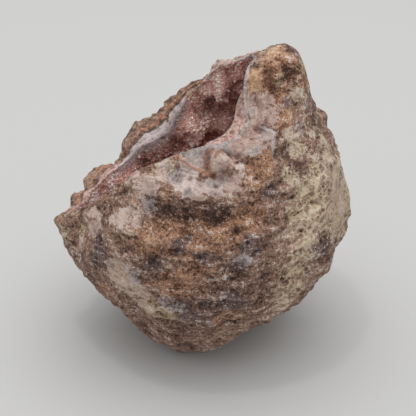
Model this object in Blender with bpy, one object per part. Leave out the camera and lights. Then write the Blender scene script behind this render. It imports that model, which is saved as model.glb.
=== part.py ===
"""Amethyst geode: a rough volcanic nodule broken open at the top left, lined with a crust of quartz points.

Metres, +Z up, front -Y. The nodule is set out in millimetres about its own centre. A direction from that centre
is given by two angles about the axis of the opening: polar (0 out of the opening, 180 into the closed side) and
bearing (0 uphill towards the peak, 90 to the back, 180 to the left tip, 270 to the front)."""

from math import asin, atan2, cos, degrees, exp, pi, radians, sin, sqrt

import bmesh
import bpy
from mathutils import Vector, noise

MM = 0.001

# The nodule, in millimetres and degrees.
RADII = (44.8, 40.5, 45.8)
BASE_DEPTH = 44.0
TILT = 35.0
PLACE = (0.67, 0.86, BASE_DEPTH)

# Swellings and hollows of the skin: azimuth, elevation, width in degrees, height.
LUMPS = (
    (2, 61, 12, 8.5),
    (8, 70, 7, 2.0),
    (20, 49, 9, -4.0),
    (19, 34, 6, 3.0),
    (12, 21, 8, -1.6),
    (180, -10, 40, 1.2),
    (-150, -38, 20, -3.0),
    (-115, -60, 12, 1.8),
    (-90, -64, 12, 1.4),
    (-60, -58, 8, -3.2),
    (-36, -50, 16, -4.0),
    (-14, -26, 15, -3.2),
    (-92, 2, 24, 2.0),
)

# Smaller features of the skin and of the broken face, in the same four numbers.
MARKS = (
    (-113, 25, 8, -1.6),
    (-98, 24, 8, -2.0),
    (-83, 24, 8, -2.0),
    (-69, 24, 7, -1.8),
    (-122, 19, 6, 1.0),
    (-85, 45, 4, -1.8),
    (-54, 50, 5, -2.2),
    (-60, 38, 6, 1.4),
    (-66, 31, 6, 1.2),
    (-18, 67, 7, 1.6),
    (-4, 58, 5, -1.6),
    (-34, 24, 8, 1.2),
    (-40, 8, 8, 1.1),
    (-56, -6, 8, -1.1),
    (-75, -32, 8, -1.0),
    (-105, -24, 8, 1.1),
    (-137, 12, 8, 1.0),
    (-128, -4, 6, -1.0),
    (-152, -6, 8, -0.9),
    (-166, 8, 7, 1.0),
    (58, 8, 13, 1.5),
    (52, 36, 9, -1.6),
    (84, 30, 8, 1.2),
    (98, -6, 12, -1.6),
    (118, -34, 12, 1.3),
    (138, 14, 11, 1.5),
    (152, -20, 10, -1.3),
)

# The broken edge by bearing: polar angle and radius of the outer edge, the same of the inner edge, and how many
# degrees the hollow's wall takes to settle below it.
EDGE = (
    (0, 59, 57.5, 50, 52.4, 14),
    (5, 59, 58.3, 50.5, 51.0, 16),
    (13, 56, 52.0, 51, 48.8, 19),
    (20, 55, 49.8, 51, 46.8, 23),
    (28, 53, 47.7, 49, 44.8, 27),
    (38, 50, 46.2, 46, 42.3, 30),
    (47, 50, 44.8, 46, 40.0, 30),
    (56, 51, 42.0, 46, 37.8, 30),
    (64, 48, 41.9, 46, 36.3, 30),
    (79, 47, 40.7, 48, 32.8, 30),
    (92, 49, 38.5, 50, 29.8, 30),
    (104, 49, 39.5, 50, 30.0, 30),
    (120, 52, 39.4, 49, 31.5, 30),
    (129, 57, 38.2, 50, 31.7, 30),
    (136, 59, 38.3, 50, 32.0, 30),
    (143, 55, 41.0, 50, 32.5, 30),
    (153, 57, 43.4, 49, 33.5, 30),
    (160, 60, 41.4, 50, 34.5, 30),
    (170, 55, 43.0, 52, 36.5, 30),
    (176, 59, 43.3, 54, 37.5, 30),
    (183, 59, 47.2, 56, 41.5, 26),
    (193, 58, 45.5, 54, 42.5, 20),
    (206, 53, 41.5, 48.5, 39.2, 14),
    (220, 48, 39.6, 44, 37.7, 12),
    (234, 45, 39.4, 41, 37.5, 11),
    (255, 43.5, 40.6, 38.5, 38.4, 10),
    (266, 44, 41.2, 38, 39.0, 10),
    (274, 49, 42.2, 39, 39.3, 9),
    (281, 58, 42.0, 40.5, 39.6, 9),
    (288, 63, 41.6, 42.5, 40.4, 9),
    (295, 66, 41.6, 44.5, 41.0, 9),
    (303, 68, 42.0, 48, 41.2, 9),
    (310, 67.5, 42.8, 52, 41.3, 10),
    (318, 66, 43.7, 55.5, 41.6, 13),
    (324, 65, 44.6, 57, 42.6, 13),
    (331, 63, 46.0, 56.5, 44.6, 12),
    (338, 61, 48.2, 51, 48.2, 11),
    (345, 59.5, 51.0, 49.5, 51.7, 11),
    (352, 59, 54.5, 50.5, 53.2, 12),
)

# The hollow, as an ellipsoid about a point on the axis of the opening.
HOLLOW_RISE = 10.0
HOLLOW_RADII = (34.0, 29.0, 27.0)
EDGE_POLAR = 56.0
FACE_SCOOP = 0.07

BEARINGS = 60
OUTER_RINGS = 21
EDGE_RINGS = 4
INNER_RINGS = 16

# The crust, a thin bed on the wall of the hollow with three-sided points standing on it: its gap to the wall, its
# thickness, and how far down the wall it starts at the front and at the back, as a share of the wall.
CRUST_GAP = 0.7
CRUST_THICKNESS = 2.0
CRUST_TOPS = (0.05, 0.02)

# The sphere it is made from: the angle from its pole at which its lip lies, how its outer rings crowd towards the
# lip, the band about the lip with smaller triangles, and the heights of the points against their triangles' sides.
CRUST_SIDE = 76.0
CRUST_CROWDING = 1.4
LIP_BAND = 18.0
POINT_HEIGHTS = (0.5, 0.7, 0.9, 1.2)
JITTER = 0.03
JITTER_STARTS = ((0, 0, 0), (31, 7, 19), (5, 43, 23))

AXIS = Vector((-sin(radians(TILT)), 0, cos(radians(TILT))))
UPHILL = Vector((cos(radians(TILT)), 0, sin(radians(TILT))))
BACK = Vector((0, 1, 0))


def toward(polar, bearing):
    p, b = radians(polar), radians(bearing)
    return AXIS * cos(p) + (UPHILL * cos(b) + BACK * sin(b)) * sin(p)


def compass(azimuth, elevation):
    a, e = radians(azimuth), radians(elevation)
    return Vector((cos(e) * cos(a), cos(e) * sin(a), sin(e)))


def around(column, bearing):
    """A value of the broken edge at any bearing, on a smooth closed curve through the stated ones."""
    knots = [(row[0], row[column]) for row in EDGE]
    knots = [(b - 360, v) for b, v in knots[-2:]] + knots + [(b + 360, v) for b, v in knots[:3]]
    i = max(n for n in range(1, len(knots) - 2) if knots[n][0] <= bearing)
    (b0, v0), (b1, v1), (b2, v2), (b3, v3) = knots[i - 1 : i + 3]
    step = b2 - b1
    m1 = (v2 - v0) / (b2 - b0) * step
    m2 = (v3 - v1) / (b3 - b1) * step
    u = (bearing - b1) / step
    rise = u * u * (3 - 2 * u)
    return v1 + (v2 - v1) * rise + m1 * u * (1 - u) ** 2 - m2 * u * u * (1 - u)


def swelling(direction, places):
    total = 0.0
    for azimuth, elevation, width, height in places:
        apart = degrees(direction.angle(compass(azimuth, elevation)))
        total += height * exp(-((apart / width) ** 2))
    return total


def skin_radius(direction):
    """Distance from the nodule's centre to its rough skin."""
    x, y, z = (c / r for c, r in zip(direction, RADII))
    radius = 1 / sqrt(x * x + y * y + z * z)
    return radius + swelling(direction, LUMPS)


def roughness(direction):
    p = direction * 45
    height = 1.6 * noise.noise(p / 13) + 1.0 * noise.noise(p / 6.5 + Vector((7, 3, 5)))
    return height + swelling(direction, MARKS)


def hollow_radius(direction):
    """Distance from the nodule's centre to the wall of the hollow."""
    parts = (direction.dot(UPHILL), direction.dot(BACK), direction.dot(AXIS))
    x, y, z = (c / r for c, r in zip(parts, HOLLOW_RADII))
    a = x * x + y * y + z * z
    b = z * HOLLOW_RISE / HOLLOW_RADII[2]
    c = (HOLLOW_RISE / HOLLOW_RADII[2]) ** 2 - 1
    return (b + sqrt(b * b - a * c)) / a


def blend(t):
    t = min(max(t, 0), 1)
    return t * t * (3 - 2 * t)


def skin_point(t, bearing):
    """A point of the outer skin: t is 0 at the closed end and 1 at the broken edge."""
    edge_polar, edge_radius = around(1, bearing), around(2, bearing)
    polar = 180 + (EDGE_POLAR - 180) * t + (edge_polar - EDGE_POLAR) * t**3
    direction = toward(polar, bearing)
    radius = skin_radius(direction)
    pull = exp(-(((polar - edge_polar) / 16) ** 2))
    radius += pull * (edge_radius - skin_radius(toward(edge_polar, bearing)))
    return direction * (radius + (1 - 0.5 * pull) * roughness(direction))


def wall_point(t, bearing):
    """A point of the hollow's wall: t is 0 at the broken edge and 1 at the bottom."""
    edge_polar, edge_radius = around(3, bearing), around(4, bearing)
    polar = edge_polar + (180 - edge_polar) * t
    direction = toward(polar, bearing)
    radius = hollow_radius(direction)
    pull = exp(-(((polar - edge_polar) / around(5, bearing)) ** 2))
    radius += pull * (edge_radius - hollow_radius(toward(edge_polar, bearing)))
    return direction * radius


def inner_point(t, bearing, depth):
    """A point that far in from the hollow's wall, square to the wall."""
    point = wall_point(t, bearing)
    if t > 0.97:
        return point + AXIS * depth
    down = wall_point(t + 0.02, bearing) - point
    along = wall_point(t, (bearing + 2) % 360) - point
    return point - down.cross(along).normalized() * depth


def face_point(t, bearing):
    """A point of the broken face, from the outer edge (0) to the inner edge (1)."""
    a, b = skin_point(1, bearing), wall_point(0, bearing)
    point = a.lerp(b, t)
    scoop = FACE_SCOOP * (a - b).length * (4 * t * (1 - t)) ** 2
    return point - point.normalized() * scoop


def shell_point(row, bearing):
    if row <= OUTER_RINGS:
        return skin_point(row / OUTER_RINGS, bearing)
    if row < OUTER_RINGS + EDGE_RINGS:
        return face_point((row - OUTER_RINGS) / EDGE_RINGS, bearing)
    return wall_point(((row - OUTER_RINGS - EDGE_RINGS) / INNER_RINGS) ** 1.3, bearing)


def build_shell(parts, material):
    """A sphere whose rings are moved: over the outside, then across the broken edge, then down the inside."""
    rings = OUTER_RINGS + EDGE_RINGS + INNER_RINGS
    bm = bmesh.new()
    bmesh.ops.create_uvsphere(bm, u_segments=BEARINGS, v_segments=rings, radius=1.0)
    for vertex in bm.verts:
        x, y, z = vertex.co
        row = round((asin(max(-1, min(1, z))) / pi + 0.5) * rings)
        step = round(degrees(atan2(y, x)) * BEARINGS / 360) % BEARINGS
        vertex.co = shell_point(row, step * 360 / BEARINGS)
    geometry = bm.verts[:] + bm.edges[:] + bm.faces[:]
    floor = (0, 0, -BASE_DEPTH)
    cut = bmesh.ops.bisect_plane(
        bm, geom=geometry, plane_co=floor, plane_no=(0, 0, -1), clear_outer=True
    )
    rim = [e for e in cut["geom_cut"] if isinstance(e, bmesh.types.BMEdge)]
    bmesh.ops.edgeloop_fill(bm, edges=rim)
    return finish(bm, "geode_shell", parts, material)


def crust_point(side, bearing):
    """A point of the crust: side is 0 at its pole on the wall, CRUST_SIDE at its lip, 180 at its inner pole."""
    top = CRUST_TOPS[0] + (CRUST_TOPS[1] - CRUST_TOPS[0]) * (1 + sin(radians(bearing))) / 2
    if side < CRUST_SIDE:
        t = top + (1 - top) * (1 - side / CRUST_SIDE) ** CRUST_CROWDING
        return inner_point(t, bearing, CRUST_GAP)
    t = top + (1 - top) * (side - CRUST_SIDE) / (180 - CRUST_SIDE)
    depth = CRUST_THICKNESS * blend((side - CRUST_SIDE) / 9)
    lumpy = wall_point(t, bearing)
    depth += 1.5 * blend((side - CRUST_SIDE) / 9) * (0.5 + noise.noise(lumpy / 8))
    return inner_point(t, bearing, CRUST_GAP + depth)


def build_crust(parts, material):
    """A sphere of small triangles pinched into a thin bowl; each triangle of its inner side rises to a point."""
    bm = bmesh.new()
    bmesh.ops.create_icosphere(bm, subdivisions=4, radius=1.0)
    near_lip = [e for e in bm.edges if all(abs(side_of(v) - CRUST_SIDE) < LIP_BAND for v in e.verts)]
    bmesh.ops.subdivide_edges(bm, edges=near_lip, cuts=1, use_grid_fill=True)
    for vertex in bm.verts:
        spot = vertex.co * 9
        nudge = Vector([noise.noise(spot + Vector(start)) for start in JITTER_STARTS])
        nudge *= JITTER * blend((side_of(vertex) - CRUST_SIDE) / LIP_BAND)
        vertex.co = (vertex.co + nudge).normalized()
    bmesh.ops.triangulate(bm, faces=bm.faces)
    side = {v: side_of(v) for v in bm.verts}
    inside = [f for f in bm.faces if max(side[v] for v in f.verts) > CRUST_SIDE]
    for vertex in bm.verts:
        bearing = degrees(atan2(vertex.co.y, vertex.co.x)) % 360
        vertex.co = crust_point(side[vertex], bearing)
    bmesh.ops.recalc_face_normals(bm, faces=bm.faces)
    groups = [[] for _ in POINT_HEIGHTS]
    for face in inside:
        pick = noise.cell(face.calc_center_median() * 3.7) * len(groups)
        groups[min(int(abs(pick)), len(groups) - 1)].append(face)
    for faces, height in zip(groups, POINT_HEIGHTS):
        bmesh.ops.poke(bm, faces=faces, offset=height, use_relative_offset=True)
    return finish(bm, "crystal_crust", parts, material)


def side_of(vertex):
    return degrees(Vector((0, 0, -1)).angle(vertex.co))


def finish(bm, name, parts, material):
    """Turns the faces outwards, sets the millimetres on the floor in metres and makes the object."""
    bmesh.ops.recalc_face_normals(bm, faces=bm.faces)
    for vertex in bm.verts:
        vertex.co = (vertex.co + Vector(PLACE)) * MM
    mesh = bpy.data.meshes.new(name)
    bm.to_mesh(mesh)
    bm.free()
    mesh.materials.append(material)
    piece = bpy.data.objects.new(name, mesh)
    parts.objects.link(piece)
    return piece


def make_material(name, colour, roughness):
    material = bpy.data.materials.new(name)
    material.use_nodes = True
    shader = material.node_tree.nodes["Principled BSDF"]
    shader.inputs["Base Color"].default_value = (*colour, 1.0)
    shader.inputs["Roughness"].default_value = roughness
    shader.inputs["Metallic"].default_value = 0.0
    return material


for thing in list(bpy.data.objects):
    bpy.data.objects.remove(thing)
parts = bpy.data.collections.new("amethyst_geode")
bpy.context.scene.collection.children.link(parts)
rock = make_material("rough_brown_rock", (0.21, 0.14, 0.10), 0.9)
rose_quartz = make_material("rose_crystal", (0.34, 0.13, 0.11), 0.3)
build_shell(parts, rock)
build_crust(parts, rose_quartz)
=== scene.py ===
# %% [markdown]
# A broken geode, dressed as the real thing around its solid model.
#
# The real object is a fist-sized nodule of volcanic rock. Gas left a bubble in cooling lava, silica lined the
# bubble with a smooth grey-white layer of chalcedony, and small rose-brown quartz crystals grew on that. Later the
# nodule weathered out of its rock and broke open, so one side shows a rough brown skin and the other shows, from
# outside to inside: skin, pinkish-grey rock, a thin orange-red line of iron, the grey-white layer, and the crystals.
#
# The lesson builds it in that order. No image is used: every form is a named swelling or hollow on a sphere,
# and every colour is a named patch that the materials break up with noise. Some places also have shade and light
# painted into their colour.

# %% Start from the solid model
from math import cos, pi, radians, sin

import bmesh
import bpy
import numpy as np
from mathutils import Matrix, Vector, noise


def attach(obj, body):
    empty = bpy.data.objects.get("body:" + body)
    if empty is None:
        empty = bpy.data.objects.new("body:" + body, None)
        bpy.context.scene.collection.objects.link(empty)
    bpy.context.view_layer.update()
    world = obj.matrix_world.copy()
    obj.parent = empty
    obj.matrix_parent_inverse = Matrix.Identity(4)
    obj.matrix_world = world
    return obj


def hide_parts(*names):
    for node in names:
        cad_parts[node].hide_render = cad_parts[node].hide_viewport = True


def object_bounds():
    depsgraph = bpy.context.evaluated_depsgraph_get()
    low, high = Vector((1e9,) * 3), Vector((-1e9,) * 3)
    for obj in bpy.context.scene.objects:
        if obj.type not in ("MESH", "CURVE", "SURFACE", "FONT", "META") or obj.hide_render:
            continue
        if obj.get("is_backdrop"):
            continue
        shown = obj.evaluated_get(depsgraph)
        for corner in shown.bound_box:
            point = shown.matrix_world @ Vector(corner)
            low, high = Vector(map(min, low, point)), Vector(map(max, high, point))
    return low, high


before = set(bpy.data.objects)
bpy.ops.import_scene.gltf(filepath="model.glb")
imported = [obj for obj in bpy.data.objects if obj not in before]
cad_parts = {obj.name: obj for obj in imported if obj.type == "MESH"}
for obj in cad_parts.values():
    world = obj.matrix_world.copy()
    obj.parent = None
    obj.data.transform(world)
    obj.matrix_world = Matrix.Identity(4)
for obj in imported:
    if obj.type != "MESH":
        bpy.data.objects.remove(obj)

MM = 0.001
solid_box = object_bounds()
print("the solid model's box:", [[round(c / MM, 1) for c in corner] for corner in solid_box])


def add(name, data):
    """A new object with that data, at the origin of the scene."""
    made = bpy.data.objects.new(name, data)
    bpy.context.scene.collection.objects.link(made)
    return made

# %% [markdown]
# The camera stands in front of the nodule and looks down on it at 28 degrees, from about four times its width
# away, so the far rim of the hollow shows above the near one. A long lens keeps the shape free of distortion.

# %% Camera
MIDDLE = (0.67, 0.86, 44.0)
AIM = Vector(MIDDLE) * MM
CAMERA_DISTANCE = 0.365
CAMERA_ELEVATION = 28.0
FRAME_PIXELS = 416
OFF_CENTRE_PIXELS = 3
LENS_MM = 100

camera = bpy.data.cameras.new("camera")
camera.lens = LENS_MM
camera.sensor_width = 36
camera.clip_start = 0.01
camera.shift_x = OFF_CENTRE_PIXELS / FRAME_PIXELS
camera.shift_y = -OFF_CENTRE_PIXELS / FRAME_PIXELS
camera_object = add("camera", camera)
rise = radians(CAMERA_ELEVATION)
camera_object.location = AIM + Vector((0, -cos(rise), sin(rise))) * CAMERA_DISTANCE
camera_object.rotation_euler = (pi / 2 - rise, 0, 0)
bpy.context.scene.camera = camera_object
print("camera at", [round(c, 3) for c in camera_object.location])

# %% [markdown]
# The form. A sphere is enough to make a broken bowl: its rings run over the outside from the closed end up to the
# broken edge, then across the broken face, then down the wall of the hollow to its bottom. So each point of the
# mesh has two addresses, a row (how far along that way) and a bearing (which way round the opening).
#
# Directions from the nodule's centre are given in two ways. Polar and bearing turn about the axis of the opening,
# which leans to the left. Azimuth and elevation are the compass way, with the front at -90, and place single
# features on the skin. All of it is worked out in millimetres, with numpy, a whole grid at a time.

# %% Directions
PLACE = np.array(MIDDLE)
TILT = radians(35.0)
AXIS = np.array([-sin(TILT), 0, cos(TILT)])
UPHILL = np.array([cos(TILT), 0, sin(TILT)])
BACK = np.array([0.0, 1.0, 0.0])
RIM_POLAR = 50.0


def toward(polar, bearing):
    p, b = np.radians(polar)[..., None], np.radians(bearing)[..., None]
    return AXIS * np.cos(p) + (UPHILL * np.cos(b) + BACK * np.sin(b)) * np.sin(p)


def ring(bearing, polar=RIM_POLAR):
    """Directions to a ring round the opening."""
    return toward(np.full(len(bearing), polar), bearing)


def compass(azimuth, elevation):
    a, e = radians(azimuth), radians(elevation)
    return np.array([cos(e) * cos(a), cos(e) * sin(a), sin(e)])


def unit(vectors):
    return vectors / np.linalg.norm(vectors, axis=-1, keepdims=True)

# %% Soft steps
def blend(t):
    """0 below 0 and 1 above 1, with a smooth step between."""
    t = np.clip(t, 0, 1)
    return t * t * (3 - 2 * t)


def bell(distance, width):
    return np.exp(-((distance / width) ** 2))


def side(bearing, middle, least, ramp):
    """1 round the middle bearing, fading to 0 where the cosine of the angle to it has fallen to least."""
    return blend((np.cos(np.radians(bearing - middle)) - least) / ramp)

# %% [markdown]
# The overall size, the big lumps, and the smaller marks are the same as in the solid model. Each one is an azimuth,
# an elevation, a width in degrees and a height in millimetres, and they add up.

# %% Lumps and marks
RADII = np.array([44.8, 40.5, 45.8])
MEAN_RADIUS = 45
BASE_DEPTH = 44.0
LUMPS = (
    (2, 61, 12, 8.5), (8, 70, 7, 2.0), (20, 49, 9, -4.0), (19, 34, 6, 3.0), (12, 21, 8, -1.6), (180, -10, 40, 1.2),
    (-150, -38, 20, -3.0), (-115, -60, 12, 1.8), (-90, -64, 12, 1.4), (-60, -58, 8, -3.2), (-36, -50, 16, -4.0),
    (-14, -26, 15, -3.2), (-92, 2, 24, 2.0),
)
MARKS = (
    (-113, 25, 8, -1.6), (-98, 24, 8, -2.0), (-83, 24, 8, -2.0), (-69, 24, 7, -1.8), (-122, 19, 6, 1.0),
    (-85, 45, 4, -1.8), (-54, 50, 5, -2.2), (-60, 38, 6, 1.4), (-66, 31, 6, 1.2), (-18, 67, 7, 1.6),
    (-4, 58, 5, -1.6), (-34, 24, 8, 1.2), (-40, 8, 8, 1.1), (-56, -6, 8, -1.1), (-75, -32, 8, -1.0),
    (-105, -24, 8, 1.1), (-137, 12, 8, 1.0), (-128, -4, 6, -1.0), (-152, -6, 8, -0.9), (-166, 8, 7, 1.0),
    (58, 8, 13, 1.5), (52, 36, 9, -1.6), (84, 30, 8, 1.2), (98, -6, 12, -1.6), (118, -34, 12, 1.3),
    (138, 14, 11, 1.5), (152, -20, 10, -1.3),
)


def swelling(direction, places):
    total = np.zeros(direction.shape[:-1])
    for azimuth, elevation, width, height in places:
        apart = np.degrees(np.arccos(np.clip(direction @ compass(azimuth, elevation), -1, 1)))
        total += height * bell(apart, width)
    return total


def skin_radius(direction):
    radius = 1 / np.linalg.norm(direction / RADII, axis=-1)
    return radius + swelling(direction, LUMPS)

# %% [markdown]
# The broken edge is a closed curve round the opening, given at 39 bearings: the polar angle and radius of its outer
# edge, the same of its inner edge, and how many degrees the wall takes to settle below it. A smooth curve through
# these rows gives any bearing between them.

# %% The broken edge
OUTER_POLAR, OUTER_RADIUS, INNER_POLAR, INNER_RADIUS, SETTLING = range(1, 6)
EDGE = np.array((
    (0, 59, 57.5, 50, 52.4, 14), (5, 59, 58.3, 50.5, 51.0, 16), (13, 56, 52.0, 51, 48.8, 19),
    (20, 55, 49.8, 51, 46.8, 23), (28, 53, 47.7, 49, 44.8, 27), (38, 50, 46.2, 46, 42.3, 30),
    (47, 50, 44.8, 46, 40.0, 30), (56, 51, 42.0, 46, 37.8, 30), (64, 48, 41.9, 46, 36.3, 30),
    (79, 47, 40.7, 48, 32.8, 30), (92, 49, 38.5, 50, 29.8, 30), (104, 49, 39.5, 50, 30.0, 30),
    (120, 52, 39.4, 49, 31.5, 30), (129, 57, 38.2, 50, 31.7, 30), (136, 59, 38.3, 50, 32.0, 30),
    (143, 55, 41.0, 50, 32.5, 30), (153, 57, 43.4, 49, 33.5, 30), (160, 60, 41.4, 50, 34.5, 30),
    (170, 55, 43.0, 52, 36.5, 30), (176, 59, 43.3, 54, 37.5, 30), (183, 59, 47.2, 56, 41.5, 26),
    (193, 58, 45.5, 54, 42.5, 20), (206, 53, 41.5, 48.5, 39.2, 14), (220, 48, 39.6, 44, 37.7, 12),
    (234, 45, 39.4, 41, 37.5, 11), (255, 43.5, 40.6, 38.5, 38.4, 10), (266, 44, 41.2, 38, 39.0, 10),
    (274, 49, 42.2, 39, 39.3, 9), (281, 58, 42.0, 40.5, 39.6, 9), (288, 63, 41.6, 42.5, 40.4, 9),
    (295, 66, 41.6, 44.5, 41.0, 9), (303, 68, 42.0, 48, 41.2, 9), (310, 67.5, 42.8, 52, 41.3, 10),
    (318, 66, 43.7, 55.5, 41.6, 13), (324, 65, 44.6, 57, 42.6, 13), (331, 63, 46.0, 56.5, 44.6, 12),
    (338, 61, 48.2, 51, 48.2, 11), (345, 59.5, 51.0, 49.5, 51.7, 11), (352, 59, 54.5, 50.5, 53.2, 12),
))


def around(column, bearing):
    """A value of the broken edge at any bearing, on a smooth closed curve through the stated ones."""
    at = np.concatenate([EDGE[-2:, 0] - 360, EDGE[:, 0], EDGE[:3, 0] + 360])
    value = np.concatenate([EDGE[-2:, column], EDGE[:, column], EDGE[:3, column]])
    i = np.searchsorted(at, np.mod(bearing, 360), side="right") - 1
    step = at[i + 1] - at[i]
    start = (value[i + 1] - value[i - 1]) / (at[i + 1] - at[i - 1]) * step
    end = (value[i + 2] - value[i]) / (at[i + 2] - at[i]) * step
    u = (np.mod(bearing, 360) - at[i]) / step
    rise = u * u * (3 - 2 * u)
    return value[i] + (value[i + 1] - value[i]) * rise + start * u * (1 - u) ** 2 - end * u * u * (1 - u)


print("the broken edge's outer radius at the back:", round(float(around(OUTER_RADIUS, np.array(90.0))), 1), "mm")

# %% [markdown]
# Weathered rock has relief at every size, so the skin gets noise in steps: the two coarse steps of the solid model,
# then finer ones down to single grains. `mathutils.noise` gives the same value at the same place in every run.
# Domes are the other kind of relief: rounded grains with creases between them, as in a crust that grew knob by knob.
#
# A patch is the sum of a few soft discs with its border made ragged by noise. The same patches decide how rough
# the skin is and, later, what colour it has, so a chalky coat is both paler and smoother than the brown rock.

# %% Noise
CREASE = 0.62


def sample(measure, points, size, start):
    """What the measure says at each point, with the points scaled by that size in millimetres."""
    at = points.reshape(-1, 3) / size + start
    return np.array([measure(p) for p in at.tolist()]).reshape(points.shape[:-1])


def clouds(points, size, start=(0, 0, 0)):
    """Smooth noise at each point, roughly -1 to 1, with lumps of that size."""
    return sample(noise.noise, points, size, start)


def cells(points, size, start=(0, 0, 0)):
    """How far each point is from the nearest of many scattered spots, in shares of their usual spacing."""
    return sample(lambda p: noise.voronoi(p)[0][0], points, size, start)


def domes(points, size, start=(0, 0, 0)):
    """Rounded grains of that size: 1 on their tops, 0 or less in the creases between them."""
    return 1 - (cells(points, size, start) / CREASE) ** 2


def roughness(direction):
    p = direction * MEAN_RADIUS
    height = 1.6 * clouds(p, 13) + 1.0 * clouds(p, 6.5, (7, 3, 5))
    return height + swelling(direction, MARKS)

# %% Patches and lines
def ragged_edge(direction):
    """The noise that breaks up every patch's border."""
    p = direction * MEAN_RADIUS
    return 0.5 * clouds(p, 5.0, (3, 1, 4)) + 0.45 * clouds(p, 1.8, (1, 5, 9))


def patch(direction, places, edge, ragged=0.75):
    """1 inside the places and 0 outside, with a wide border broken up by noise."""
    height = swelling(direction, [(*place, 1.0) for place in places])
    return blend((height + ragged * edge - 0.2) / 0.6)


def ribbon(direction, route, width):
    """1 on a line through the given azimuths and elevations, falling off over that width in degrees."""
    ends = np.array([compass(*place) for place in route])
    nearest = np.full(direction.shape[:-1], 9.0)
    for start, end in zip(ends[:-1], ends[1:]):
        along = np.clip((direction - start) @ (end - start) / ((end - start) @ (end - start)), 0, 1)
        nearest = np.minimum(nearest, np.linalg.norm(direction - start - along[..., None] * (end - start), axis=-1))
    return bell(np.degrees(nearest), width)

# %% [markdown]
# Smaller features of the real stone, each one a place, a width and a height. The knobs and pits are narrower than
# anything in the solid model, and most are about a millimetre high or deep. The cracks are lines: a route, a width
# and a depth.

# %% Knobs, pits and cracks
KNOBS = (
    (-38.5, 69.5, 3, 1.1), (-42, 66.5, 3, 1.1), (-30, 68.5, 5, 0.8), (-10, 54, 4.5, -0.9), (6, 54, 6, -1.5),
    (8, 44, 4, 0.8), (-17, 54, 1.8, -0.9), (-13, 58, 3.6, 1.2), (-20, 69, 3, 0.9), (-24, 56.5, 3, 0.9),
    (-17, 54.5, 3, 0.9), (-8, 62, 4, 0.9), (4, 67, 2.2, 1.0), (-40, 74, 5, -0.6), (0, 74, 5, -0.9),
    (-35, 53.5, 3.4, 0.9), (-38, 50.5, 3, 0.8), (-31, 50, 3, 0.7), (-45.2, 46, 2.7, 2.4), (-79.5, 45.5, 3.4, 2.3),
    (-72, 50, 3, 0.7), (-118, 32, 5.5, 1.2), (-126, 33, 4, 0.9), (-103, 32, 4, 0.7), (-66, 43, 4, 0.9),
    (-60, 37, 4, 0.8), (-70, 33, 4, 0.9), (-112, 14, 6, 0.9), (-98, 17, 5, 0.8), (-84, 16, 5, 0.9),
    (-70, 20, 5, 0.8), (-96, 0, 6, 0.9), (-80, -8, 6, 0.8), (-108, -6, 5, 0.8), (-90, -30, 6, 1.0),
    (-75, -20, 5, 0.8), (-60, 0, 5, 0.8), (-132, 10, 4, 0.9), (-146, -2, 5, 0.9), (-30, 38, 4, 1.0),
    (-14, 46, 4, 0.8), (-22, 30, 5, 0.7), (-40, -12, 5, 0.9), (150, 40, 5, 0.9), (110, 22, 5, 0.9), (70, -4, 6, 0.9),
    (25, 6, 6, 0.8), (95, 44, 4, 0.8), (130, -8, 6, 0.9), (40, 48, 5, 0.8),
)
PITS = (
    (-16, 61, 1.8, 0.8), (-3, 64, 2.2, 0.9), (-45, 64.5, 1.6, 0.7), (-51, 42.3, 1.8, 1.4), (-46, 41.2, 1.8, 1.4),
    (-42, 43.5, 1.6, 1.1), (-51, 54, 2.6, 1.1), (-54, 60, 1.2, 1.0), (-87, 47, 2.0, 0.1), (-89, 43, 2.4, 0.3),
    (-76, 47.5, 1.8, 0.7), (-80, 40, 4.2, 1.2), (-71, 46, 1.4, 1.3), (-48, 47.5, 1.2, 0.7), (-42, 47.5, 1.4, 0.9),
    (-46.5, 43, 1.5, 1.0), (-86, 40, 1.1, 0.9), (-98, 38, 1.2, 0.9), (-92, 36, 1.0, 0.8), (-84.5, 35, 1.2, 0.9),
    (-85, 32, 1.2, 0.8), (-113, 24.5, 3.2, 1.1), (-105, 24, 3.2, 1.1), (-97, 24, 3.2, 1.2), (-89, 24, 3.2, 1.1),
    (-81, 25, 3.0, 0.9), (-22, 20, 1.3, 1.2), (-56, -10, 1.6, 1.2), (-67, -16, 1.6, 1.2), (-84, 20, 1.5, 1.0),
    (-75, 17, 2.0, 1.0), (-96, 14, 1.6, 1.0), (-84, 6, 1.8, 1.0), (-90, -15, 1.8, 1.0), (-114, 2, 2.6, 1.0),
    (-76, -2, 2.6, 1.0), (-66, -4, 1.6, 1.0), (-61, -15, 1.8, 1.0), (-101, -33, 2.4, 0.9), (-142, -6, 2.4, 0.9),
    (-133, -4, 1.6, 0.9), (-143, -12, 1.6, 0.8), (-138, 4, 2.4, 0.9), (-60, 31, 2.4, 0.9), (-46, -7, 2.4, 0.9),
    (100, 30, 2, 1.0), (60, 18, 2, 1.0), (140, -20, 2, 1.0), (10, 20, 2, 0.9), (80, -20, 2.4, 1.0),
    (170, 14, 2, 0.9),
)
CRACKS = (
    (((-17, 63.5), (-20, 61), (-22, 58)), 1.2, 1.0),
    (((-28, 68), (-31, 65), (-33, 61)), 1.4, 0.9),
    (((-12, 67), (-15, 65), (-17.5, 63.5)), 0.7, 1.8),
    (((-36, 20.5), (-36, 16.3)), 0.8, 1.3),
    (((-7, 50), (-15, 44), (-20, 38)), 1.2, 0.8),
    (((-14, 41), (-24, 34)), 1.0, 0.8),
    (((-58, -22), (-70, -29), (-84, -33)), 1.2, 0.9),
    (((-120, 8), (-106, 10), (-94, 8)), 1.3, 0.8),
    (((-100, 22), (-84, 21), (-72, 24), (-64, 29)), 1.2, 0.9),
    (((-92, -4), (-78, 2), (-66, 9)), 1.2, 0.8),
    (((60, 40), (74, 20), (90, 6)), 1.3, 0.9),
    (((128, 30), (140, 8), (136, -14)), 1.3, 0.9),
)


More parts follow.
